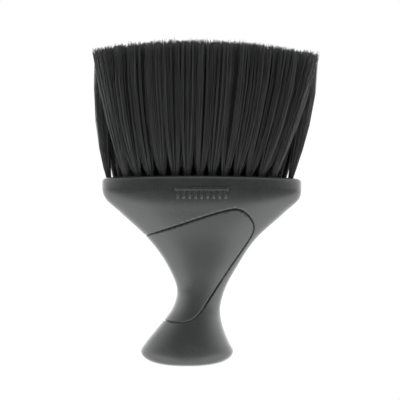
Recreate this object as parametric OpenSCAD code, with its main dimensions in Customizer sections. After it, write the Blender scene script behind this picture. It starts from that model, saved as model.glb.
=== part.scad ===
// Neck duster brush. A waisted handle of two moulded shells, split front from rear, carries a soft
// grip insert and a drilled block of bristle tufts, each tuft folded over a flat metal anchor.
// It stands on its foot with the bristles up: X is the width, Y the depth with the front at -Y,
// Z the height, and the origin is the centre of the flat under the foot.

/* [Handle] */
// Height of the head's rim where it is highest
rim_h = 96.2; // [95:0.1:98]
// Width of the head
head_w = 102; // [101.5:0.1:105]
// Depth of the head
head_d = 26; // [25.5:0.1:30]
// How far the middle of the head stands to the right of the foot's
head_x = 7.5; // [6:0.1:9]
// Width of the foot
foot_w = 47.8; // [44:0.1:52]
// Depth of the foot
foot_d = 24.3; // [22:0.1:30]
// Width of the waist
waist_w = 22.6; // [21:0.1:26]
// Depth of the waist
waist_d = 16; // [15:0.1:20]
// Thickness of the moulded walls
wall = 2.8; // [2.7:0.1:3.2]
// Length of the flat under the foot
flat_w = 13; // [10:0.5:16]

/* [Grip insert] */
// Thickness of the soft insert
grip_t = 1.3; // [1:0.1:1.4]
// Width of the groove all round it
groove_w = 0.6; // [0.4:0.1:1]

/* [Tufts] */
// Tufts in the front, middle and rear rows
row_counts = [13, 16, 15]; // [11:1:16]
// Distance between the tufts of a row
pitch = 6.15; // [6:0.05:6.2]
// Distance between rows
row_gap = 6; // [5.8:0.1:6.2]
// Diameter of a tuft's hole
hole_d = 3; // [2.8:0.1:3]
// Depth of a tuft's hole
hole_deep = 7; // [6:0.5:7]
// Height of the tips above the resting face
tip_h = 165; // [155:0.5:175]
// Width of the fan of tufts at its tips
fan_w = 112.6; // [108:0.2:118]
// Depth of the fan of tufts at its tips
fan_d = 34.8; // [30:0.2:40]
// How far the fan leans to the right at its tips
fan_lean = 3.2; // [0:0.1:5]

/* [Hidden] */
ROWS = ["front", "middle", "rear"];
function two_digits(n) = str(n < 10 ? "0" : "", n);
TUFTS = [for (r = [0:2]) for (i = [0:row_counts[r] - 1]) [r, i]];
function tuft_name(t) = str("tuft_", ROWS[t[0]], "_", two_digits(t[1] + 1));

// Fits and small parts
fit = 0.05;             // clearance of a located joint, each side
ring_points = 40;       // corners of one section of the handle
foot_h = 7.3;           // height of the foot's widest section
foot_round = 2.2;       // exponent of the round under the foot's two ends
foot_edge = 2.4;        // height of the round under its front and back
foot_tuck = 5;          // how far that round runs in under the foot
head_h = rim_h - 5;     // height where the head's sides become upright
rim_r = 2.2;            // round over the rim
bow_r = 1050;           // radius of the rim's slight crown
bow_x = head_x - 5;     // where the crown is highest
bow_from = 78;          // height where sections begin to follow the crown

// Block and anchors
block_x = head_x - 1.1;         // middle of the rows of tufts
block_top = rim_h - 1.2;        // its top lies a little below the rim
slab = [15 * pitch + hole_d + 0.6, 2 * row_gap + hole_d + 1.6, 7.6];   // the drilled upper part
slab_foot = block_top - slab[2];
slab_corner = 7.5;
plug = [slab[0] - 20, slab[1] - 4, 5.4];    // the narrower part below it
block_foot = slab_foot - plug[2];
plug_corner = 5;
rib = 0.8;                      // how far the plug's retaining rib stands out
rib_h = 2;
rib_z = block_foot + 1.2;       // underside of the rib
ledge = 3.4;                    // thickening of the walls under the block
anchor = [hole_d + 0.3, 0.4, 1.6];
anchor_up = 0.9;                // how far an anchor lies above the bottom of its hole

// Seam between the shells
tongue_in = 1.5;        // depth of the tongue's outer face below the surface
tongue_t = 0.7;
tongue_h = 1;
peg_d = 2.6;
peg_l = 4;
boss_d = 6;
pegs = [[head_x - 27, 75], [head_x + 27, 75], [6.6, 40], [0, 14]];

// Section stations from the foot's widest level to the head's: share of that height, left edge,
// right edge, half depth and squareness of the section
foot_l = -foot_w / 2;
foot_r = foot_w / 2;
waist_l = 5.9 - waist_w / 2;
waist_r = 5.9 + waist_w / 2;
head_l = head_x - head_w / 2;
head_r = head_x + head_w / 2;
function mix(a, b, t) = a + (b - a) * t;
stations = [
    [0,     foot_l,                      foot_r,                      foot_d / 2, 2.5],
    [0.045, mix(foot_l, waist_l, 0.12),  mix(foot_r, waist_r, 0.28),  mix(foot_d, waist_d, 0.12) / 2, 2.5],
    [0.14,  mix(foot_l, waist_l, 0.47),  mix(foot_r, waist_r, 0.77),  mix(foot_d, waist_d, 0.55) / 2, 2.4],
    [0.25,  mix(foot_l, waist_l, 0.86),  waist_r,                     mix(foot_d, waist_d, 0.9) / 2, 2.3],
    [0.345, waist_l,                     mix(waist_r, head_r, 0.04),  waist_d / 2, 2.3],
    [0.51,  mix(waist_l, head_l, 0.12),  mix(waist_r, head_r, 0.21),  mix(waist_d, head_d, 0.08) / 2, 2.5],
    [0.675, mix(waist_l, head_l, 0.38),  mix(waist_r, head_r, 0.44),  mix(waist_d, head_d, 0.3) / 2, 2.8],
    [0.83,  mix(waist_l, head_l, 0.745), mix(waist_r, head_r, 0.785), mix(waist_d, head_d, 0.68) / 2, 3.2],
    [0.915, mix(waist_l, head_l, 0.945), mix(waist_r, head_r, 0.965), mix(waist_d, head_d, 0.9) / 2, 3.5],
    [1,     head_l,                      head_r,                      head_d / 2, 3.6],
];

// Smooth value, and its slope, of one column of the stations at a height
function gap(i) = stations[i + 1][0] - stations[i][0];
function rise(i, c) = (stations[i + 1][c] - stations[i][c]) / gap(i);
function slope(i, c) =
    i == 0 && c == 3 ? rise(0, 3)
        : i == 0 || i == len(stations) - 1 ? 0
        : (rise(i - 1, c) * gap(i) + rise(i, c) * gap(i - 1)) / (gap(i - 1) + gap(i));
function share(h) = min(1, max(0, (h - foot_h) / (head_h - foot_h)));
function span_of(s) = max([for (i = [0:len(stations) - 2]) if (s >= stations[i][0]) i]);
function hermite(a, b, ma, mb, t) =
    (2 * t ^ 3 - 3 * t ^ 2 + 1) * a + (t ^ 3 - 2 * t ^ 2 + t) * ma
    + (3 * t ^ 2 - 2 * t ^ 3) * b + (t ^ 3 - t ^ 2) * mb;
function at(h, c) =
    let (s = share(h), i = span_of(s), g = gap(i))
    hermite(stations[i][c], stations[i + 1][c], slope(i, c) * g, slope(i + 1, c) * g,
            (s - stations[i][0]) / g);
function steepness(h, c) = sqrt(1 + (at(h + 0.2, c) - at(h - 0.2, c)) ^ 2 / 0.16);

// One section of the handle: a rounded outline, set in by a wall thickness measured square to
// the surface, drawn in to a share of its width and of its depth under the foot, and bowed with
// the rim
function power(v, p) = sign(v) * abs(v) ^ p;
function bow(x, h) =
    (x - bow_x) ^ 2 / (2 * bow_r) * min(1, max(0, (h - bow_from) / (rim_h - bow_from))) ^ 1.5;
function section(h, inset, size = 1, z = undef, deep = 1) =
    let (
        left = at(h, 1) + inset * steepness(h, 1),
        right = at(h, 2) - inset * steepness(h, 2),
        half_w = (right - left) / 2 * size,
        half_d = (at(h, 3) - inset * steepness(h, 3)) * deep,
        n = 2 / at(h, 4),
        height = is_undef(z) ? h : z
    )
    [for (k = [0:ring_points - 1])
        let (
            a = 360 * (k + 0.5) / ring_points,
            x = (left + right) / 2 + half_w * power(cos(a), n)
        )
        [x, half_d * power(sin(a), n), height - bow(x, height)]
    ];

// Sections of the round under the foot, from the flat out to the widest level; the front and back
// flare on a little below that level before they round under
function foot_sections(inset) = [
    for (g = [0, 0.2, 0.35, 0.48, 0.6, 0.8, 0.92, 0.98])
        let (
            up = (foot_h - inset) * (1 - (1 - g ^ foot_round) ^ (1 / foot_round)),
            low = 1 - min(1, up / foot_edge),
            lost = foot_tuck * (1 - sqrt(1 - low ^ 2)),
            down = min(foot_h - inset - up, foot_h - foot_edge),
            flare = -slope(0, 3) / (head_h - foot_h),
            more = flare * down * (1 - down / (2 * (foot_h - foot_edge)))
        )
        section(foot_h, inset, mix(flat_w / foot_w, 1, g), inset + up,
                1 + 2 * (more - lost) / foot_d)
];
function side_heights(top) = concat([foot_h, 8.7, 10.5, 13], [for (h = [17:5:top - 2]) h], [top]);

// Closed surface through a list of sections
module loft(rings) {
    n = ring_points;
    rows = len(rings);
    mid = function(ring) [
        (ring[0][0] + ring[n / 2][0]) / 2, 0, max([for (p = ring) p[2]])
    ];
    polyhedron(
        points = concat([for (ring = rings) each ring], [mid(rings[0]), mid(rings[rows - 1])]),
        faces = concat(
            [for (j = [0:rows - 2]) for (k = [0:n - 1]) each
                let (a = j * n + k, b = j * n + (k + 1) % n)
                [[a, a + n, b + n], [a, b + n, b]]
            ],
            [for (k = [0:n - 1]) [rows * n, k, (k + 1) % n]],
            [for (k = [0:n - 1])
                [rows * n + 1, (rows - 1) * n + (k + 1) % n, (rows - 1) * n + k]]
        )
    );
}

module handle_form() {
    upright = [for (h = side_heights(rim_h - rim_r)) section(h, 0)];
    rim = [for (a = [22.5:22.5:90])
        section(rim_h - rim_r, rim_r * (1 - cos(a)), 1, rim_h - rim_r * (1 - sin(a)))];
    loft(concat(foot_sections(0), upright, rim));
}

module inner_form(inset, top) {
    loft(concat(foot_sections(inset), [for (h = side_heights(top)) section(h, inset)]));
}

// Hollow of the handle, narrowed at the top to leave a ledge under the block
module hollow() {
    inset = function(h) wall + ledge * min(1, max(0, (h - 66) / 8));
    heights = side_heights(block_foot + 0.5);
    loft(concat(foot_sections(wall), [for (h = heights) section(h, inset(h))]));
}

// The insert's outline seen from the front: a long upper edge, a rounded nose at the right, a
// straight run down across the waist and a lower edge, closed well outside the handle's left side
function bezier(a, b, c, d) = [
    for (t = [0:0.125:0.875])
        (1 - t) ^ 3 * a + 3 * t * (1 - t) ^ 2 * b + 3 * t ^ 2 * (1 - t) * c + t ^ 3 * d
];
grip_outline = concat(
    bezier([-26, 64.8], [-8, 69.8], [14, 78.6], [23.6, 79.8]),
    bezier([23.6, 79.8], [28.5, 80.4], [34.6, 74.6], [34.3, 69.5]),
    bezier([34.3, 69.5], [34.1, 65.6], [28.5, 58.8], [21, 47.7]),
    bezier([21, 47.7], [17.6, 42.6], [14.1, 37.5], [8.6, 29]),
    bezier([8.6, 29], [5.6, 24.4], [2.4, 22], [-1.9, 21.8]),
    bezier([-1.9, 21.8], [-6, 21.6], [-11, 22.2], [-17, 23.8]),
    [[-40, 30], [-40, 60]]
);

module grip_prism(inset) {
    rotate([90, 0, 0])
        linear_extrude(height = 60, center = true)
            offset(delta = -inset) polygon(grip_outline);
}

// Upright prism with rounded corners, from one height to another
module rounded_prism(w, d, corner, z0, z1) {
    translate([block_x, 0, z0])
        linear_extrude(height = z1 - z0) {
            square([w, d - 2 * corner], center = true);
            square([w - 2 * corner, d], center = true);
            for (x = [corner - w / 2, w / 2 - corner])
                for (y = [corner - d / 2, d / 2 - corner])
                    translate([x, y])
                        circle(r = corner, $fn = 48);
        }
}

// The tuft block, or the space for it: a slab, a narrower plug and the plug's retaining rib
module block_form(grow, top) {
    g = 2 * grow;
    r = 2 * (rib + grow);
    rounded_prism(slab[0] + g, slab[1] + g, slab_corner + grow, slab_foot - grow, top);
    rounded_prism(plug[0] + g, plug[1] + g, plug_corner + grow, block_foot, slab_foot);
    rounded_prism(plug[0] + r, plug[1] + r, plug_corner + rib + grow,
                  rib_z - grow, rib_z + rib_h + grow);
}

// Plain raised comb, the mark on the front of the head
module comb_mark() {
    mark_w = 27;
    teeth = 9;
    tooth = 1.3;
    translate([head_x, 0, head_h - 4.1])
        rotate([90, 0, 0])
            linear_extrude(height = 30) {
                translate([0, 2.4]) square([mark_w, 1.6], center = true);
                for (i = [0:teeth - 1])
                    translate([mark_w * ((i + 0.5) / teeth - 0.5), 0])
                        square([tooth, 5.4], center = true);
            }
}

module half_space(side) {
    translate([-100, side < 0 ? -50 : 0, -5]) cube([200, 50, 120]);
}

// Ring inside the wall along the seam, between two depths below the surface
module seam_ring(inner, outer, y0, y1) {
    intersection() {
        difference() {
            inner_form(outer, block_foot - 4);
            inner_form(inner, block_foot - 4 + 1);
        }
        translate([-100, y0, wall + 1]) cube([200, y1 - y0, block_foot - wall - 8]);
    }
}

module peg_bosses(side) {
    for (p = pegs)
        translate([p[0], 0, p[1]])
            rotate([side < 0 ? 90 : -90, 0, 0])
                cylinder(d = boss_d, h = head_d / 2, $fn = 24);
}

// One moulded half of the handle, before its seam features; resize leaves its size alone and
// keeps the whole moulding one mesh
module moulding(side) {
    intersection() {
        union() {
            difference() {
                handle_form();
                hollow();
            }
            intersection() {
                inner_form(wall - 0.4, block_foot - 2);
                peg_bosses(side);
            }
        }
        half_space(side);
    }
}

module mould_cuts() {
    block_form(fit, rim_h + 5);
    difference() {
        grip_prism(0);
        inner_form(grip_t, rim_h - 10);
    }
}

module handle_front_shell() {
    color("#343635")
        resize([0, 0, 0]) {
            difference() {
                moulding(-1);
                mould_cuts();
            }
            seam_ring(tongue_in + tongue_t, tongue_in, -0.5, tongue_h);
            for (p = pegs)
                translate([p[0], -3, p[1]])
                    rotate([-90, 0, 0])
                        cylinder(d = peg_d, h = 3 + peg_l, $fn = 20);
            intersection() {
                comb_mark();
                difference() {
                    inner_form(-0.35, rim_h - 3);
                    inner_form(0.3, rim_h - 2);
                }
            }
        }
}

module handle_rear_shell() {
    color("#313332")
        resize([0, 0, 0])
            difference() {
                moulding(1);
                mould_cuts();
                seam_ring(tongue_in + tongue_t + fit, tongue_in - fit, -1, tongue_h + fit);
                for (p = pegs)
                    translate([p[0], -1, p[1]])
                        rotate([-90, 0, 0])
                            cylinder(d = peg_d + 2 * fit, h = 1 + peg_l + 0.4, $fn = 20);
            }
}

module grip_insert() {
    color("#2c2e2e")
        resize([0, 0, 0])
            difference() {
                intersection() {
                    handle_form();
                    grip_prism(groove_w);
                }
                inner_form(grip_t, rim_h - 10);
            }
}

// Places of the tufts in the block
function tuft_x(t, gap_between) = (t[1] - (row_counts[t[0]] - 1) / 2) * gap_between;
function tuft_y(t, gap_between) = (t[0] - 1) * gap_between;
function block_surface(x) = block_top - (x - bow_x) ^ 2 / (2 * bow_r);

module tuft_block() {
    color("#1f2020")
        difference() {
            block_form(0, block_top);
            translate([bow_x, 0, block_top])
                rotate([90, 0, 0])
                    difference() {
                        cube([2 * slab[0], 10, 2 * slab[1]], center = true);
                        translate([0, -bow_r, 0])
                            cylinder(r = bow_r, h = 3 * slab[1], center = true, $fn = 720);
                    }
            for (t = TUFTS)
                translate([block_x + tuft_x(t, pitch), tuft_y(t, row_gap), block_top - hole_deep]) {
                    cylinder(d = hole_d, h = hole_deep + 5, $fn = 32);
                    anchor_slot(0);
                }
        }
}

// Slot that an anchor is driven into, across a hole just above its bottom
module anchor_slot(grow) {
    translate([-anchor[0] / 2 - grow, -anchor[1] / 2 - grow, anchor_up - grow])
        cube([anchor[0] + 2 * grow, anchor[1] + 2 * grow, anchor[2] + 2 * grow]);
}

module tuft_anchors(row) {
    color("#b9bcbe")
        for (t = TUFTS)
            if (t[0] == row)
                translate([block_x + tuft_x(t, pitch), tuft_y(t, row_gap), block_top - hole_deep])
                    anchor_slot(0);
}

// Height of the trimmed tips, a long crown across the width and a short one across the depth
function trim_h(x, y) = tip_h - 0.00174 * (x - head_x + 3.6) ^ 2 - 0.009 * y ^ 2;

// One tuft: a round root in its hole, then a flare that fills its own cell of the fan
module tuft(t) {
    sides = 12;
    root = hole_d / 2 - fit;
    x0 = tuft_x(t, pitch);
    y0 = tuft_y(t, row_gap);
    x1 = tuft_x(t, fan_w / row_counts[t[0]]) + fan_lean;
    y1 = tuft_y(t, fan_d / len(ROWS));
    low = block_surface(block_x + x0) - 0.2;
    level = function(u)     // u from 0 at the block to 1 at the tips
        let (
            lean = 1 - (1 - u) ^ 1.8,
            open = 1 - (1 - u) ^ 3,
            cx = block_x + mix(x0, x1, lean),
            cy = mix(y0, y1, lean),
            rx = mix(root, mix(pitch, fan_w / row_counts[t[0]], lean) / 2 - 0.12, open),
            ry = mix(root, mix(row_gap, fan_d / len(ROWS), lean) / 2 - 0.12, open),
            n = 2 / mix(2, 4, open)
        )
        [for (k = [0:sides - 1])
            let (
                a = 360 * k / sides,
                x = cx + rx * power(cos(a), n),
                y = cy + ry * power(sin(a), n)
            )
            [x, y, mix(low, trim_h(x, y), u)]
        ];
    foot = [for (p = level(0)) [p[0], p[1], block_top - hole_deep + 0.02]];
    rings = concat([foot], [for (u = [0, 0.12, 0.35, 0.68, 1]) level(u)]);
    color("#191a1a")
        difference() {
            polyhedron(
                points = [for (ring = rings) each ring],
                faces = concat(
                    [[for (k = [0:sides - 1]) k]],
                    [for (j = [0:len(rings) - 2]) for (k = [0:sides - 1]) each
                        let (a = j * sides + k, b = j * sides + (k + 1) % sides)
                        [[a, a + sides, b + sides], [a, b + sides, b]]
                    ],
                    [for (k = [1:sides - 2])
                        let (top = (len(rings) - 1) * sides)
                        [top, top + k + 1, top + k]
                    ]
                )
            );
            translate([block_x + x0, y0, block_top - hole_deep]) anchor_slot(0.01);
        }
}

handle_front_shell();
handle_rear_shell();
grip_insert();
tuft_block();
for (row = [0:2])
    tuft_anchors(row);
for (t = TUFTS)
    tuft(t);
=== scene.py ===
import math
import random
from collections import namedtuple

import bmesh
import bpy
import numpy as np
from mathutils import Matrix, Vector


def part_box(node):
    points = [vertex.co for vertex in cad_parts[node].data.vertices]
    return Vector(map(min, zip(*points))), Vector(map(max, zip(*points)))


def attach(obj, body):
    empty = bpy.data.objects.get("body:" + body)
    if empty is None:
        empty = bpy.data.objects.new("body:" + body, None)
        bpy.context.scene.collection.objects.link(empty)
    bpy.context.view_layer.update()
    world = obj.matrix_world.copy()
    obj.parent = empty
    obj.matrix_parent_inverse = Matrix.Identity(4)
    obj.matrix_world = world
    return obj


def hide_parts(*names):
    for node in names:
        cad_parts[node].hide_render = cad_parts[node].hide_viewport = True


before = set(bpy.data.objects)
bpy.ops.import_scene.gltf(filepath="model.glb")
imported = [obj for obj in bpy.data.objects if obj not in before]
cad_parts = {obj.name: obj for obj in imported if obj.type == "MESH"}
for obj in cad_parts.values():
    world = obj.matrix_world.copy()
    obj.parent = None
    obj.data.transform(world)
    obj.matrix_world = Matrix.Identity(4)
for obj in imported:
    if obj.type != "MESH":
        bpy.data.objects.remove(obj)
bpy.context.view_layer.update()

# A neck duster: a waisted handle moulded in two shells, a soft insert wrapped round one edge of it,
# and a drilled block that holds three rows of nylon tufts. Sizes here are in millimetres, in the
# object's own frame: X across, Y back, Z up, with the origin under the foot.
MM = 0.001
random.seed(1946)


def box_mm(node):
    low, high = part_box(node)
    return Vector(low) / MM, Vector(high) / MM


BLOCK_LOW, BLOCK_HIGH = box_mm("tuft_block")
REAR_LOW, REAR_HIGH = box_mm("handle_rear_shell")

# Handle
RIM_H = 96.2
HEAD_W = 102.0
HEAD_D = 26.0
HEAD_X = round((REAR_LOW.x + REAR_HIGH.x) / 2, 2)
FOOT_W = 47.8
FOOT_D = 24.3
FOOT_H = 7.3        # height of the foot's widest level
FOOT_ROUND = 2.2    # exponent of the round under its two ends
FOOT_EDGE = 2.4     # height of the round under its front and back
FOOT_TUCK = 5.0     # how far that round runs in under the foot
FLAT_W = 13.0       # width of the flat it stands on
WAIST_W = 22.6
WAIST_D = 16.0
WAIST_X = 5.9
HEAD_H = RIM_H - 5  # height where the head's sides become upright
RIM_R = 2.2
BOW_R = 1050.0      # radius of the rim's slight crown
BOW_X = HEAD_X - 5
BOW_FROM = 78.0     # height where the levels begin to follow the crown
SKIN = 0.9          # wall of the finished pieces
COLUMNS = 240       # faces round the handle

# Groove round the insert, and the parting line of the two shells
GROOVE_W = 0.95
GROOVE_DEEP = 0.75
GROOVE_AT = (0, 0.32, 0.5, 0.75)    # shares of its width, from its middle outwards
GROOVE_SINKS = (1, 0.9, 0.12, 0)    # share of its depth at each of them
SEAM_W = 0.3
SEAM_DEEP = 0.14

# Block and tufts
BLOCK_X = (BLOCK_LOW.x + BLOCK_HIGH.x) / 2
BLOCK_TOP = RIM_H - 1.2
SLAB_W = BLOCK_HIGH.x - BLOCK_LOW.x
SLAB_D = BLOCK_HIGH.y - BLOCK_LOW.y
SLAB_CORNER = 7.5
ROWS = {"front": 13, "middle": 16, "rear": 15}
PITCH = 6.15
ROW_GAP = 6.0
HOLE_R = 1.5
TIP_H = 165.0
FAN_W = 112.6
FAN_D = 34.8
FAN_LEAN = 3.2      # how far the fan's middle lies to the right of the block's
TRIM_X = HEAD_X - 3.6   # where the trimmed tips are highest
TRIM_ACROSS = 0.00174   # how fast they fall away across the width
TRIM_DEEP = 0.009       # and across the depth


def mix(a, b, t):
    return a + (b - a) * t


def clamp(value, low=0.0, high=1.0):
    return max(low, min(high, value))


# ---------------------------------------------------------------- form of the handle

FOOT_L, FOOT_R = -FOOT_W / 2, FOOT_W / 2
WAIST_L, WAIST_R = WAIST_X - WAIST_W / 2, WAIST_X + WAIST_W / 2
HEAD_L, HEAD_R = HEAD_X - HEAD_W / 2, HEAD_X + HEAD_W / 2

# Share of the height from the foot's widest level to the head's, left edge, right edge, half depth
# and squareness of the section there
STATIONS = [
    (0, FOOT_L, FOOT_R, FOOT_D / 2, 2.5),
    (0.045, mix(FOOT_L, WAIST_L, 0.12), mix(FOOT_R, WAIST_R, 0.28), mix(FOOT_D, WAIST_D, 0.12) / 2, 2.5),
    (0.14, mix(FOOT_L, WAIST_L, 0.47), mix(FOOT_R, WAIST_R, 0.77), mix(FOOT_D, WAIST_D, 0.55) / 2, 2.4),
    (0.25, mix(FOOT_L, WAIST_L, 0.86), WAIST_R, mix(FOOT_D, WAIST_D, 0.9) / 2, 2.3),
    (0.345, WAIST_L, mix(WAIST_R, HEAD_R, 0.04), WAIST_D / 2, 2.3),
    (0.51, mix(WAIST_L, HEAD_L, 0.12), mix(WAIST_R, HEAD_R, 0.21), mix(WAIST_D, HEAD_D, 0.08) / 2, 2.5),
    (0.675, mix(WAIST_L, HEAD_L, 0.38), mix(WAIST_R, HEAD_R, 0.44), mix(WAIST_D, HEAD_D, 0.3) / 2, 2.8),
    (0.83, mix(WAIST_L, HEAD_L, 0.745), mix(WAIST_R, HEAD_R, 0.785), mix(WAIST_D, HEAD_D, 0.68) / 2, 3.2),
    (0.915, mix(WAIST_L, HEAD_L, 0.945), mix(WAIST_R, HEAD_R, 0.965), mix(WAIST_D, HEAD_D, 0.9) / 2, 3.5),
    (1, HEAD_L, HEAD_R, HEAD_D / 2, 3.6),
]


def gap(i):
    return STATIONS[i + 1][0] - STATIONS[i][0]


def rise(i, column):
    return (STATIONS[i + 1][column] - STATIONS[i][column]) / gap(i)


def slope(i, column):
    """Slope of a column at a station: level at both ends, except for the depth, which is already
    falling where it leaves the foot."""
    if i == 0 and column == 3:
        return rise(0, 3)
    if i in (0, len(STATIONS) - 1):
        return 0.0
    return (rise(i - 1, column) * gap(i) + rise(i, column) * gap(i - 1)) / (gap(i - 1) + gap(i))


def at(height, column):
    """Smooth value of one column of the stations at a height."""
    s = clamp((height - FOOT_H) / (HEAD_H - FOOT_H))
    i = max(k for k in range(len(STATIONS) - 1) if s >= STATIONS[k][0])
    t = (s - STATIONS[i][0]) / gap(i)
    return (
        (2 * t**3 - 3 * t**2 + 1) * STATIONS[i][column]
        + (t**3 - 2 * t**2 + t) * slope(i, column) * gap(i)
        + (3 * t**2 - 2 * t**3) * STATIONS[i + 1][column]
        + (t**3 - t**2) * slope(i + 1, column) * gap(i)
    )


def bow(x, height):
    """How far the rim's slight crown lowers a point."""
    return (x - BOW_X) ** 2 / (2 * BOW_R) * clamp((height - BOW_FROM) / (RIM_H - BOW_FROM)) ** 1.5


def section(height, inset=0.0, size=1.0, z=None, deep=1.0):
    """One level of the handle, as a function from an angle to a point."""
    left = at(height, 1) + inset
    right = at(height, 2) - inset
    half_w = (right - left) / 2 * size
    half_d = (at(height, 3) - inset) * deep
    square = at(height, 4)
    level = height if z is None else z

    def point(angle):
        c, s = math.cos(angle), math.sin(angle)
        r = (abs(c) ** square + abs(s) ** square) ** (-1 / square)
        x = (left + right) / 2 + half_w * c * r
        return Vector((x, half_d * s * r, level - bow(x, level)))

    return point


def pocket(inset, down):
    """The edge of the block's pocket in the head, nearest to each point of the rim."""
    rim = section(RIM_H - RIM_R, RIM_R, 1, RIM_H)
    core_w = SLAB_W / 2 - SLAB_CORNER
    core_d = SLAB_D / 2 - SLAB_CORNER

    def point(angle):
        p = rim(angle)
        x, y = p.x - BLOCK_X, p.y
        core = Vector((clamp(x, -core_w, core_w), clamp(y, -core_d, core_d), 0))
        away = Vector((x, y, 0)) - core
        edge = core + away.normalized() * min(away.length, SLAB_CORNER + 0.05 + inset)
        return Vector((BLOCK_X + edge.x, edge.y, RIM_H - down - bow(p.x, RIM_H)))

    return point


def under_foot(z):
    """Share of the foot's depth at a level under its widest one: the front and back flare on a little
    before they round under."""
    low = 1 - min(1, z / FOOT_EDGE)
    lost = FOOT_TUCK * (1 - math.sqrt(1 - low**2))
    down = min(FOOT_H - z, FOOT_H - FOOT_EDGE)
    flare = -slope(0, 3) / (HEAD_H - FOOT_H)
    more = flare * down * (1 - down / (2 * (FOOT_H - FOOT_EDGE)))
    return 1 + 2 * (more - lost) / FOOT_D


# Shares of the way out from the flat under the foot to its widest level, closer towards the edge
FOOT_STEPS = (0, 0.12, 0.24, 0.35, 0.46, 0.56, 0.65, 0.73, 0.8, 0.86, 0.91, 0.945, 0.97, 0.988)


def handle_levels():
    """Every level of the skin, from the middle of the flat under the foot to inside the pocket."""
    flat = FLAT_W / FOOT_W
    levels = [section(FOOT_H, 0, flat * share, 0, under_foot(0) * share) for share in (0, 0.4, 0.75)]
    for g in FOOT_STEPS:
        z = FOOT_H * (1 - (1 - g**FOOT_ROUND) ** (1 / FOOT_ROUND))
        levels.append(section(FOOT_H, 0, mix(flat, 1, g), z, under_foot(z)))
    side = RIM_H - RIM_R - FOOT_H
    steps = round(side)
    levels += [section(FOOT_H + side * k / steps) for k in range(steps + 1)]
    turns = 9
    for k in range(1, turns + 1):
        a = math.pi / 2 * k / turns
        levels.append(
            section(RIM_H - RIM_R, RIM_R * (1 - math.cos(a)), 1, RIM_H - RIM_R * (1 - math.sin(a)))
        )
    levels += [pocket(0.3, 0), pocket(0.08, 0.08), pocket(0, 0.3), pocket(0, 1.2), pocket(0, 3)]
    return levels


# The insert's outline in the X-Z plane, as runs of Bezier curves closed outside the left edge
GRIP_CURVES = [
    ((-26, 64.8), (-8, 69.8), (14, 78.6), (23.6, 79.8)),
    ((23.6, 79.8), (28.5, 80.4), (34.6, 74.6), (34.3, 69.5)),
    ((34.3, 69.5), (34.1, 65.6), (28.5, 58.8), (21, 47.7)),
    ((21, 47.7), (17.6, 42.6), (14.1, 37.5), (8.6, 29)),
    ((8.6, 29), (5.6, 24.4), (2.4, 22), (-1.9, 21.8)),
    ((-1.9, 21.8), (-6, 21.6), (-11, 22.2), (-17, 23.8)),
]


def grip_outline():
    points = []
    steps = 16
    for a, b, c, d in GRIP_CURVES:
        for k in range(steps):
            t = k / steps
            weights = ((1 - t) ** 3, 3 * t * (1 - t) ** 2, 3 * t**2 * (1 - t), t**3)
            points.append([sum(w * p[axis] for w, p in zip(weights, (a, b, c, d))) for axis in (0, 1)])
    return np.array(points + [[-40, 30], [-40, 60]])


def from_outline(points, outline):
    """Distance of each X-Z point from a closed outline, negative inside it."""
    start, end = outline, np.roll(outline, -1, axis=0)
    run = end - start
    rel = points[:, None, :] - start[None, :, :]
    share = np.clip((rel * run).sum(2) / (run**2).sum(1), 0, 1)
    distance = np.linalg.norm(rel - share[..., None] * run, axis=2).min(1)
    x, z = points[:, 0:1], points[:, 1:2]
    crosses = (start[:, 1] > z) != (end[:, 1] > z)
    with np.errstate(divide="ignore", invalid="ignore"):
        at_x = start[:, 0] + (z - start[:, 1]) * run[:, 0] / run[:, 1]
    inside = (crosses & (x < at_x)).sum(1) % 2 == 1
    return np.where(inside, -distance, distance)


def score(mesh, layer, value):
    """Cuts the faces along the line where a layer of the vertices has one value."""
    tiny = 1e-4
    far = 5
    crossings = []
    for edge in mesh.edges:
        a, b = edge.verts
        da, db = a[layer] - value, b[layer] - value
        if abs(da) > far or abs(db) > far:
            continue
        if (da < -tiny and db > tiny) or (da > tiny and db < -tiny):
            crossings.append((edge, a, da / (da - db)))
    others = [other for other in mesh.verts.layers.float.values() if other != layer]
    scored = [v for v in mesh.verts if abs(v[layer] - value) <= tiny]
    for edge, a, share in crossings:
        b = edge.other_vert(a)
        kept = [mix(a[other], b[other], share) for other in others]
        new = bmesh.utils.edge_split(edge, a, share)[1]
        new[layer] = value
        for other, number in zip(others, kept):
            new[other] = number
        scored.append(new)
    bmesh.ops.connect_verts(mesh, verts=scored)


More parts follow.
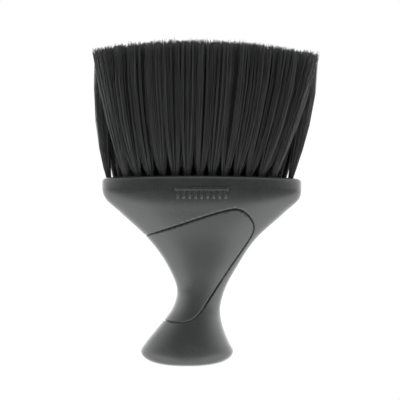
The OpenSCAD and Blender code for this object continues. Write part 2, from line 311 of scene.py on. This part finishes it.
def handle_skin():
    """The whole outer surface of the handle, with its groove and parting line pressed in."""
    levels = handle_levels()
    mesh = bmesh.new()
    bmesh.ops.create_cone(mesh, cap_ends=False, segments=COLUMNS, radius1=1, radius2=1, depth=1)
    upright = [e for e in mesh.edges if abs(e.verts[0].co.z - e.verts[1].co.z) > 0.5]
    bmesh.ops.subdivide_edges(mesh, edges=upright, cuts=len(levels) - 2, use_grid_fill=True)
    for vert in mesh.verts:
        level = levels[round((vert.co.z + 0.5) * (len(levels) - 1))]
        vert.co = level(math.atan2(vert.co.y, vert.co.x))
    bmesh.ops.remove_doubles(mesh, verts=mesh.verts, dist=0.002)
    bmesh.ops.recalc_face_normals(mesh, faces=mesh.faces)
    widest = max(mesh.faces, key=lambda f: f.calc_center_median().x)
    if widest.normal.x < 0:
        bmesh.ops.reverse_faces(mesh, faces=mesh.faces)

    groove = mesh.verts.layers.float.new("from_groove")
    seam = mesh.verts.layers.float.new("from_seam")
    places = np.array([(v.co.x, v.co.z) for v in mesh.verts])
    # The groove's middle runs half its width inside the outline that the shells are cut to
    for vert, distance in zip(mesh.verts, from_outline(places, grip_outline())):
        vert[groove] = distance + GROOVE_W / 2
        vert[seam] = vert.co.y
    for share in sorted({side * at_share for side in (-1, 1) for at_share in GROOVE_AT}):
        score(mesh, groove, share * GROOVE_W)
    for share in (-0.5, 0, 0.5):
        score(mesh, seam, share * SEAM_W)

    mesh.normal_update()
    sunk = []
    for vert in mesh.verts:
        across = abs(vert[groove]) / GROOVE_W
        deep = GROOVE_DEEP * np.interp(across, GROOVE_AT, GROOVE_SINKS)
        if vert[groove] > 0 and vert.co.z < RIM_H - 1:
            deep += SEAM_DEEP * max(0, 1 - 2 * abs(vert[seam]) / SEAM_W)
        if deep > 0:
            sunk.append((vert, vert.normal * deep))
    for vert, step in sunk:
        vert.co -= step
    return mesh


def finished(name, mesh, material, nodes=()):
    """Makes a piece from a bmesh in millimetres, and closes the bmesh."""
    bmesh.ops.scale(mesh, vec=(MM, MM, MM), verts=mesh.verts)
    data = bpy.data.meshes.new(name)
    mesh.to_mesh(data)
    mesh.free()
    data.shade_smooth()
    data.set_sharp_from_angle(angle=math.radians(35))
    data.materials.append(material)
    piece = bpy.data.objects.new(name, data)
    bpy.context.scene.collection.objects.link(piece)
    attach(piece, "root")
    if nodes:
        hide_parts(*nodes)
    return piece


def handle_pieces(skin_material, grip_material):
    """Splits the skin along the groove and the parting line, and gives each piece its wall."""
    skin = handle_skin()
    pieces = (
        ("handle_front", "handle_front_shell", lambda away, side: away > 0 and side < 0),
        ("handle_rear", "handle_rear_shell", lambda away, side: away > 0 and side > 0),
        ("grip", "grip_insert", lambda away, side: away < 0),
    )
    for name, node, belongs in pieces:
        part = skin.copy()
        away = part.verts.layers.float["from_groove"]
        side = part.verts.layers.float["from_seam"]
        others = [
            face for face in part.faces
            if not belongs(
                sum(v[away] for v in face.verts) / len(face.verts),
                sum(v[side] for v in face.verts) / len(face.verts),
            )
        ]
        bmesh.ops.delete(part, geom=others, context="FACES")
        if name == "grip":
            piece = finished(name, part, grip_material, (node,))
        else:
            piece = finished(name, part, skin_material, (node,))
        wall = piece.modifiers.new("wall", "SOLIDIFY")
        wall.thickness = SKIN * MM
        wall.offset = -1
        wall.use_even_offset = False
    skin.free()


# ---------------------------------------------------------------- mark on the head

MARK_W = 27.0
MARK_SPINE = 1.6         # height of the spine
MARK_SPINE_Z = HEAD_H - 1.7
MARK_TEETH = 9
MARK_TOOTH = (1.3, 4.6)  # width and height of a tooth
MARK_TEETH_Z = HEAD_H - 4.5
MARK_PROUD = 0.6
MARK_SUNK = 0.5
MARK_EDGE = 0.25
MARK_CUT = 1.5           # a long bar is cut across this often, so that it can follow the head


def head_front(x, z):
    """Depth of the head's front surface at a place on it."""
    height = z + bow(x, z)
    left, right = at(height, 1), at(height, 2)
    square = at(height, 4)
    across = clamp(abs(x - (left + right) / 2) / ((right - left) / 2), 0, 0.999)
    return -at(height, 3) * (1 - across**square) ** (1 / square)


def raised_bar(mesh, x, z, width, height):
    """One bar of the comb with rounded edges, bent to lie on the head."""
    deep = MARK_PROUD + MARK_SUNK
    made = bmesh.ops.create_cube(mesh, size=1)["verts"]
    bmesh.ops.scale(mesh, vec=(width, deep, height), verts=made)
    edges = list({edge for vert in made for edge in vert.link_edges})
    rounded = bmesh.ops.bevel(
        mesh, geom=edges, offset=MARK_EDGE, segments=3, affect="EDGES", profile=0.5, material=-1
    )
    verts = list(set(rounded["verts"]) | {v for v in made if v.is_valid})
    for k in range(1, round(width / MARK_CUT)):
        plane = -width / 2 + MARK_CUT * k
        near_edges = list({e for v in verts for e in v.link_edges})
        near_faces = list({f for v in verts for f in v.link_faces})
        cut = bmesh.ops.bisect_plane(
            mesh, geom=verts + near_edges + near_faces, plane_co=(plane, 0, 0), plane_no=(1, 0, 0)
        )["geom_cut"]
        on_plane = {v for v in cut if isinstance(v, bmesh.types.BMVert)}
        verts = list({v for v in verts if v.is_valid} | on_plane)
    for vert in verts:
        vert.co.x += x
        vert.co.z += z
        vert.co.y += head_front(vert.co.x, vert.co.z) - MARK_PROUD + deep / 2


def raised_comb(material):
    """A plain comb standing a little proud of the head: a spine and a row of teeth."""
    mesh = bmesh.new()
    raised_bar(mesh, HEAD_X, MARK_SPINE_Z, MARK_W, MARK_SPINE)
    for i in range(MARK_TEETH):
        x = HEAD_X + MARK_W * ((i + 0.5) / MARK_TEETH - 0.5)
        raised_bar(mesh, x, MARK_TEETH_Z, *MARK_TOOTH)
    finished("raised_comb", mesh, material)


# ---------------------------------------------------------------- bristles

STRANDS = 270           # filaments in a tuft
STRAND_R = 0.115
STRAND_STOPS = (0, 0.1, 0.25, 0.45, 0.72, 1)
TIP_SHARE = 0.6         # radius of the cut tip, as a share of the filament's
TIP_JITTER = 0.2        # how far a tip lies from its even place, as a share of half the cell
CUT = (-0.15, 0.65)     # mean and spread of a tip's height over the trim
LONG_SHARE = 0.05       # filaments that the trim missed
LONG_BY = (0.1, 1.2)
ROOT_DEEP = 2.5         # how far a filament begins down its hole
CLUMPS = 20             # clumps that a tuft's tips draw into
CLUMP_PULL = 0.65       # strongest pull of a clump on its filaments
CLUMP_LEAN = 0.12       # spread of a clump's lean to one side, as a share of half the cell
CLUMP_DROP = 2.3        # how far the shortest clump's tips lie below the trim
CLUMP_DROP_USUAL = 0.2
STRAY_SHARE = 0.09      # filaments that leave their clump
STRAY_REACH = 1.8
WAVE = 0.3
END_REACH = 0.4         # how far a filament may pass the end of the fan
SIDE_REACH = 3.0        # and the side of its own cell elsewhere

# Places are from the block's middle. A high spring bends the tuft over low down, and a high
# opening spreads it low down.
Tuft = namedtuple("Tuft", "root_x root_y cell_x cell_y cell_w cell_d spring opening first last")
Clump = namedtuple("Clump", "x y drop lean")


def block_surface(x):
    return BLOCK_TOP - (x - BOW_X) ** 2 / (2 * BOW_R)


def trim_h(x, y):
    """Height of the trimmed tips: a long crown across the width, a short one across the depth."""
    return TIP_H - TRIM_ACROSS * (x - TRIM_X) ** 2 - TRIM_DEEP * y**2


def disc_point():
    r = math.sqrt(random.random())
    a = random.uniform(0, 2 * math.pi)
    return r * math.cos(a), r * math.sin(a)


def strand(tuft, clumps):
    """The points of one filament, from inside its hole to its cut tip."""
    rx, ry = disc_point()
    # The disc opens out to the tuft's own cell, and neighbours draw together into clumps
    stretch = max(abs(rx), abs(ry), 0.01)
    scale = math.hypot(rx, ry) / stretch
    tx = rx * scale + random.gauss(0, TIP_JITTER)
    ty = ry * scale + random.gauss(0, TIP_JITTER)
    near = min(clumps, key=lambda clump: (clump.x - tx) ** 2 + (clump.y - ty) ** 2)
    pull = random.uniform(0.0, CLUMP_PULL)
    tx = (mix(tx, near.x, pull) + near.lean) * tuft.cell_w / 2
    ty = mix(ty, near.y, pull) * tuft.cell_d / 2
    if random.random() < STRAY_SHARE:
        tx += random.gauss(0, STRAY_REACH)
        ty += random.gauss(0, STRAY_REACH)
    left_reach = END_REACH if tuft.first else SIDE_REACH
    right_reach = END_REACH if tuft.last else SIDE_REACH
    tx = clamp(tx, -tuft.cell_w / 2 - left_reach, tuft.cell_w / 2 + right_reach)
    wave = random.gauss(0, WAVE)
    turn = random.uniform(0, math.pi)
    root_r = HOLE_R - STRAND_R - (0.2 if tuft.first or tuft.last else 0.05)
    tip_x, tip_y = BLOCK_X + tuft.cell_x + tx, tuft.cell_y + ty
    tip_z = trim_h(tip_x, tip_y) + random.gauss(*CUT) - near.drop
    if random.random() < LONG_SHARE:
        tip_z += random.uniform(*LONG_BY)
    low = block_surface(BLOCK_X + tuft.root_x)
    points = [
        (BLOCK_X + tuft.root_x + rx * root_r, tuft.root_y + ry * root_r, low - ROOT_DEEP)
    ]
    for u in STRAND_STOPS:
        lean = 1 - (1 - u) ** tuft.spring
        spread = 1 - (1 - u) ** tuft.opening
        sway = wave * math.sin(math.pi * u) * (1 + u)
        points.append((
            BLOCK_X + mix(tuft.root_x, tuft.cell_x, lean) + mix(rx * root_r, tx, spread)
            + sway * math.cos(turn),
            mix(tuft.root_y, tuft.cell_y, lean) + mix(ry * root_r, ty, spread) + sway * math.sin(turn),
            mix(low, tip_z, u),
        ))
    return points


def bristle_tuft(row, i, material):
    """One tuft: a few hundred filaments as tapered tubes, made one mesh."""
    count = ROWS[row]
    depth = list(ROWS).index(row) - 1
    place = i - (count - 1) / 2
    cell_w, cell_d = FAN_W / count, FAN_D / len(ROWS)
    across = i / (count - 1)
    # The left side of the fan springs out low down and then rises, the right side leans out evenly
    spring = mix(3.0, 1.4, across) if row == "middle" else mix(2.0, 1.3, across)
    if i in (0, count - 1):
        spring = mix(4.0, 1.6, across) if row == "middle" else 1.1
    inner = 0.08 < across < 0.92
    opening = 4.5 if inner else 2.5
    tuft = Tuft(
        place * PITCH, depth * ROW_GAP, place * cell_w + FAN_LEAN, depth * cell_d,
        cell_w, cell_d, spring, opening, i == 0, i == count - 1,
    )
    clumps = [
        Clump(
            random.uniform(-1, 1), random.uniform(-1, 1),
            random.triangular(0, CLUMP_DROP, CLUMP_DROP_USUAL),
            random.gauss(0, CLUMP_LEAN) if inner else 0,
        )
        for _ in range(CLUMPS)
    ]
    name = f"bristles_{row}_{i + 1:02d}"
    curve = bpy.data.curves.new(name + "_paths", "CURVE")
    curve.dimensions = "3D"
    curve.bevel_depth = STRAND_R * MM
    curve.bevel_resolution = 0
    curve.use_fill_caps = True
    for _ in range(STRANDS):
        points = strand(tuft, clumps)
        spline = curve.splines.new("POLY")
        spline.points.add(len(points) - 1)
        flat = [value for x, y, z in points for value in (x * MM, y * MM, z * MM, 1)]
        spline.points.foreach_set("co", flat)
        spline.points[-1].radius = TIP_SHARE
        spline.use_smooth = True
    paths = bpy.data.objects.new(name + "_paths", curve)
    bpy.context.scene.collection.objects.link(paths)
    data = bpy.data.meshes.new_from_object(paths.evaluated_get(bpy.context.evaluated_depsgraph_get()))
    data.name = name
    bpy.data.objects.remove(paths)
    bpy.data.curves.remove(curve)
    data.materials.clear()
    data.materials.append(material)
    piece = bpy.data.objects.new(name, data)
    bpy.context.scene.collection.objects.link(piece)
    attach(piece, "root")
    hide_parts(f"tuft_{row}_{i + 1:02d}")


# ---------------------------------------------------------------- materials

def linear(code):
    """Linear colour of an sRGB hex value."""
    parts = [int(code[k:k + 2], 16) / 255 for k in (0, 2, 4)]
    return [c / 12.92 if c <= 0.04045 else ((c + 0.055) / 1.055) ** 2.4 for c in parts] + [1.0]


def add(tree, kind, inputs=None, **settings):
    """Adds a node, sets its properties, and fills its sockets with values or links."""
    node = tree.nodes.new(kind)
    for key, value in settings.items():
        setattr(node, key, value)
    for key, value in (inputs or {}).items():
        if isinstance(value, bpy.types.NodeSocket):
            tree.links.new(value, node.inputs[key])
        else:
            node.inputs[key].default_value = value
    return node


def blank(name):
    material = bpy.data.materials.new(name)
    material.use_nodes = True
    material.node_tree.nodes.clear()
    return material, material.node_tree


def per_metre(millimetres):
    """Noise scale for a feature of this size."""
    return 1 / (millimetres * MM)


def moulded(name, dark, light, rough, grain, grain_height, ior):
    """A moulded plastic: faint cloudiness in its colour and gloss, and a fine skin texture."""
    material, tree = blank(name)
    place = add(tree, "ShaderNodeTexCoord").outputs["Object"]
    cloud = add(tree, "ShaderNodeTexNoise", {
        "Vector": place, "Scale": per_metre(14), "Detail": 4.0, "Roughness": 0.6,
    })
    colour = add(tree, "ShaderNodeMix", {
        "Factor": cloud.outputs["Fac"], 6: linear(dark), 7: linear(light),
    }, data_type="RGBA")
    skin = add(tree, "ShaderNodeTexNoise", {
        "Vector": place, "Scale": per_metre(grain), "Detail": 2.0, "Roughness": 0.5,
    })
    gloss = add(tree, "ShaderNodeMapRange", {
        "Value": cloud.outputs["Fac"], "From Min": 0.3, "From Max": 0.7,
        "To Min": rough - 0.03, "To Max": rough + 0.03,
    })
    bump = add(tree, "ShaderNodeBump", {
        "Height": skin.outputs["Fac"], "Strength": 0.35, "Distance": grain_height * MM,
    })
    shader = add(tree, "ShaderNodeBsdfPrincipled", {
        "Base Color": colour.outputs[2], "Roughness": gloss.outputs["Result"],
        "Normal": bump.outputs["Normal"], "IOR": ior,
    })
    add(tree, "ShaderNodeOutputMaterial", {"Surface": shader.outputs["BSDF"]})
    return material


def nylon():
    """Black nylon filament, drawn and heat-set: near black with a soft gloss, with faint lighter and
    darker streaks painted into its colour as painted highlight, where whole bundles catch the light
    together."""
    material, tree = blank("black_drawn_nylon")
    place = add(tree, "ShaderNodeTexCoord").outputs["Object"]
    # Painted highlight streaks 1.6 mm wide and 45 mm long, the width of a bundle of filaments
    drawn_out = add(tree, "ShaderNodeMapping", {"Vector": place, "Scale": (1, 1, 0.035)})
    painted_highlight_streak = add(tree, "ShaderNodeTexNoise", {
        "Vector": drawn_out.outputs["Vector"], "Scale": per_metre(1.6), "Detail": 3.0, "Roughness": 0.6,
    })
    spread = add(tree, "ShaderNodeMapRange", {
        "Value": painted_highlight_streak.outputs["Fac"], "From Min": 0.35, "From Max": 0.68,
    })
    # painted highlight: the streaks lighten and darken the base colour
    colour = add(tree, "ShaderNodeMix", {
        "Factor": spread.outputs["Result"], 6: linear("262627"), 7: linear("2c2d2d"),
    }, data_type="RGBA")
    shader = add(tree, "ShaderNodeBsdfPrincipled", {
        "Base Color": colour.outputs[2], "Roughness": 0.5, "IOR": 1.53, "Specular IOR Level": 0.16,
    })
    add(tree, "ShaderNodeOutputMaterial", {"Surface": shader.outputs["BSDF"]})
    return material


def nickel_silver():
    """Flat wire rolled from nickel silver: a warm grey metal with fine lines along it."""
    material, tree = blank("rolled_nickel_silver")
    place = add(tree, "ShaderNodeTexCoord").outputs["Object"]
    along = add(tree, "ShaderNodeMapping", {"Vector": place, "Scale": (0.1, 1, 1)})
    lines = add(tree, "ShaderNodeTexNoise", {
        "Vector": along.outputs["Vector"], "Scale": per_metre(0.15), "Detail": 2.0,
    })
    colour = add(tree, "ShaderNodeMix", {
        "Factor": lines.outputs["Fac"], 6: linear("a7a49b"), 7: linear("c4c2ba"),
    }, data_type="RGBA")
    shader = add(tree, "ShaderNodeBsdfPrincipled", {
        "Base Color": colour.outputs[2], "Metallic": 1.0, "Roughness": 0.3,
    })
    add(tree, "ShaderNodeOutputMaterial", {"Surface": shader.outputs["BSDF"]})
    return material


# ---------------------------------------------------------------- studio

# Lengths from here on are in metres, apart from the camera's focal length
AIM = Vector((6.6, 0, 83.9)) * MM
DISTANCE = 0.68
LENS = 120
FRONT_LIGHT = 0.12
SIDE_LIGHT = 4.9
BACK_LIGHT = 3.0
TOP_LIGHT = 0.6
FLOOR_R = 3
PAINTED_POOL_FROM = -0.36  # where the white sheet, a painted pool of light, begins to show on the dark table of painted shade
PAINTED_POOL_TO = -0.12    # and where it is all there
# strength of the painted light: the glow painted on the sheet, a floor that is no lamp
PAINTED_POOL_GLOW = 2.5


def camera():
    data = bpy.data.cameras.new("camera")
    data.lens = LENS
    data.sensor_width = 36
    data.clip_start = 0.01
    view = bpy.data.objects.new("camera", data)
    view.location = AIM - Vector((0, DISTANCE, 0))
    view.rotation_euler = (math.pi / 2, 0, 0)
    bpy.context.scene.collection.objects.link(view)
    bpy.context.scene.camera = view


def floor():
    """A sheet of white paper that begins in front of the brush, on a dark table. The sheet glows as a
    painted pool of light round the brush, and the dark table in front of it is painted shade; camera rays
    see plain white instead.
    """
    material, tree = blank("white_paper_painted_glow")
    place = add(tree, "ShaderNodeTexCoord").outputs["Object"]
    back = add(tree, "ShaderNodeSeparateXYZ", {"Vector": place}).outputs["Y"]
    # the painted pool of light: the glowing sheet near the brush, fading out towards the front
    painted_light_pool = add(tree, "ShaderNodeMapRange", {
        "Value": back, "From Min": PAINTED_POOL_FROM, "From Max": PAINTED_POOL_TO,
    }, interpolation_type="SMOOTHSTEP").outputs["Result"]
    fibre = add(tree, "ShaderNodeTexNoise", {"Vector": place, "Scale": per_metre(3), "Detail": 3.0})
    paper = add(tree, "ShaderNodeMix", {
        "Factor": fibre.outputs["Fac"], 6: linear("d0d0d0"), 7: linear("d6d6d6"),
    }, data_type="RGBA")
    # painted shade: the dark table colour in front of the painted pool of light
    colour = add(tree, "ShaderNodeMix", {
        "Factor": painted_light_pool, 6: linear("303030"), 7: paper.outputs[2],
    }, data_type="RGBA")
    # painted light: the sheet glows, strongest near the brush
    painted_glow = add(tree, "ShaderNodeMath", {0: painted_light_pool, 1: PAINTED_POOL_GLOW}, operation="MULTIPLY")
    shader = add(tree, "ShaderNodeBsdfPrincipled", {
        "Base Color": colour.outputs[2], "Roughness": 0.9, "Specular IOR Level": 0.1,
        "Emission Color": (1, 1, 1, 1), "Emission Strength": painted_glow.outputs[0],
    })
    seen = add(tree, "ShaderNodeLightPath").outputs["Is Camera Ray"]
    white = add(tree, "ShaderNodeEmission", {"Color": (1, 1, 1, 1), "Strength": 1.0})
    both = add(tree, "ShaderNodeMixShader", {0: seen, 1: shader.outputs["BSDF"], 2: white.outputs[0]})
    add(tree, "ShaderNodeOutputMaterial", {"Surface": both.outputs[0]})
    mesh = bmesh.new()
    bmesh.ops.create_circle(mesh, cap_ends=True, segments=96, radius=FLOOR_R)
    data = bpy.data.meshes.new("floor")
    mesh.to_mesh(data)
    mesh.free()
    data.materials.append(material)
    ground = bpy.data.objects.new("floor", data)
    bpy.context.scene.collection.objects.link(ground)


def soft_room():
    """White screens round the brush: bright at both sides, softer behind, soft above, dim in front."""
    world = bpy.data.worlds.new("soft_room")
    bpy.context.scene.world = world
    world.use_nodes = True
    tree = world.node_tree
    tree.nodes.clear()
    way = add(tree, "ShaderNodeTexCoord").outputs["Generated"]
    parts = add(tree, "ShaderNodeSeparateXYZ", {"Vector": way})
    across = parts.outputs["X"]
    sides = add(tree, "ShaderNodeMath", {0: across, 1: across}, operation="MULTIPLY")
    behind = add(tree, "ShaderNodeMath", {0: parts.outputs["Y"], 1: 0.0}, operation="MAXIMUM")
    light = add(tree, "ShaderNodeMath", {
        0: sides.outputs[0], 1: SIDE_LIGHT, 2: FRONT_LIGHT,
    }, operation="MULTIPLY_ADD")
    light = add(tree, "ShaderNodeMath", {
        0: behind.outputs[0], 1: BACK_LIGHT, 2: light.outputs[0],
    }, operation="MULTIPLY_ADD")
    above = add(tree, "ShaderNodeMath", {0: parts.outputs["Z"], 1: 0.0}, operation="MAXIMUM")
    light = add(tree, "ShaderNodeMath", {
        0: above.outputs[0], 1: TOP_LIGHT, 2: light.outputs[0],
    }, operation="MULTIPLY_ADD")
    seen = add(tree, "ShaderNodeLightPath").outputs["Is Camera Ray"]
    room = add(tree, "ShaderNodeBackground", {"Color": (1, 1, 1, 1), "Strength": light.outputs[0]})
    white = add(tree, "ShaderNodeBackground", {"Color": (1, 1, 1, 1), "Strength": 1.0})
    both = add(tree, "ShaderNodeMixShader", {0: seen, 1: room.outputs[0], 2: white.outputs[0]})
    add(tree, "ShaderNodeOutputWorld", {"Surface": both.outputs[0]})


def soft_light(name, place, size, power):
    data = bpy.data.lights.new(name, "AREA")
    data.shape = "DISK"
    data.size = size
    data.energy = power
    lamp = bpy.data.objects.new(name, data)
    lamp.location = Vector(place)
    lamp.rotation_euler = (AIM - lamp.location).to_track_quat("-Z", "Y").to_euler()
    bpy.context.scene.collection.objects.link(lamp)


camera()
floor()
soft_room()
soft_light("top_light", (0.1, -0.1, 1.1), 0.9, 3)
bpy.context.scene.view_settings.view_transform = "Standard"

# Soft-touch lacquer over moulded ABS: a satin charcoal that brightens where it turns away
lacquer = moulded("soft_touch_lacquer_on_abs", "181a19", "1d1f1e", 0.27, 0.35, 0.012, 1.46)
# Thermoplastic elastomer moulded in a lightly blasted tool: the same charcoal, a touch duller
elastomer = moulded("moulded_elastomer", "181a19", "1d1f1e", 0.29, 0.3, 0.018, 1.46)
# Polypropylene moulded and drilled: black with a waxy, even gloss
polypropylene = moulded("moulded_polypropylene", "141515", "1b1c1c", 0.4, 0.5, 0.03, 1.49)
wire = nickel_silver()
filament = nylon()

handle_pieces(lacquer, elastomer)
raised_comb(lacquer)
for row in ROWS:
    for i in range(ROWS[row]):
        bristle_tuft(row, i, filament)
for name, material in (
    ("tuft_block", polypropylene), ("tuft_anchors_front", wire),
    ("tuft_anchors_middle", wire), ("tuft_anchors_rear", wire),
):
    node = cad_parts[name]
    node.data.materials.clear()
    node.data.materials.append(material)
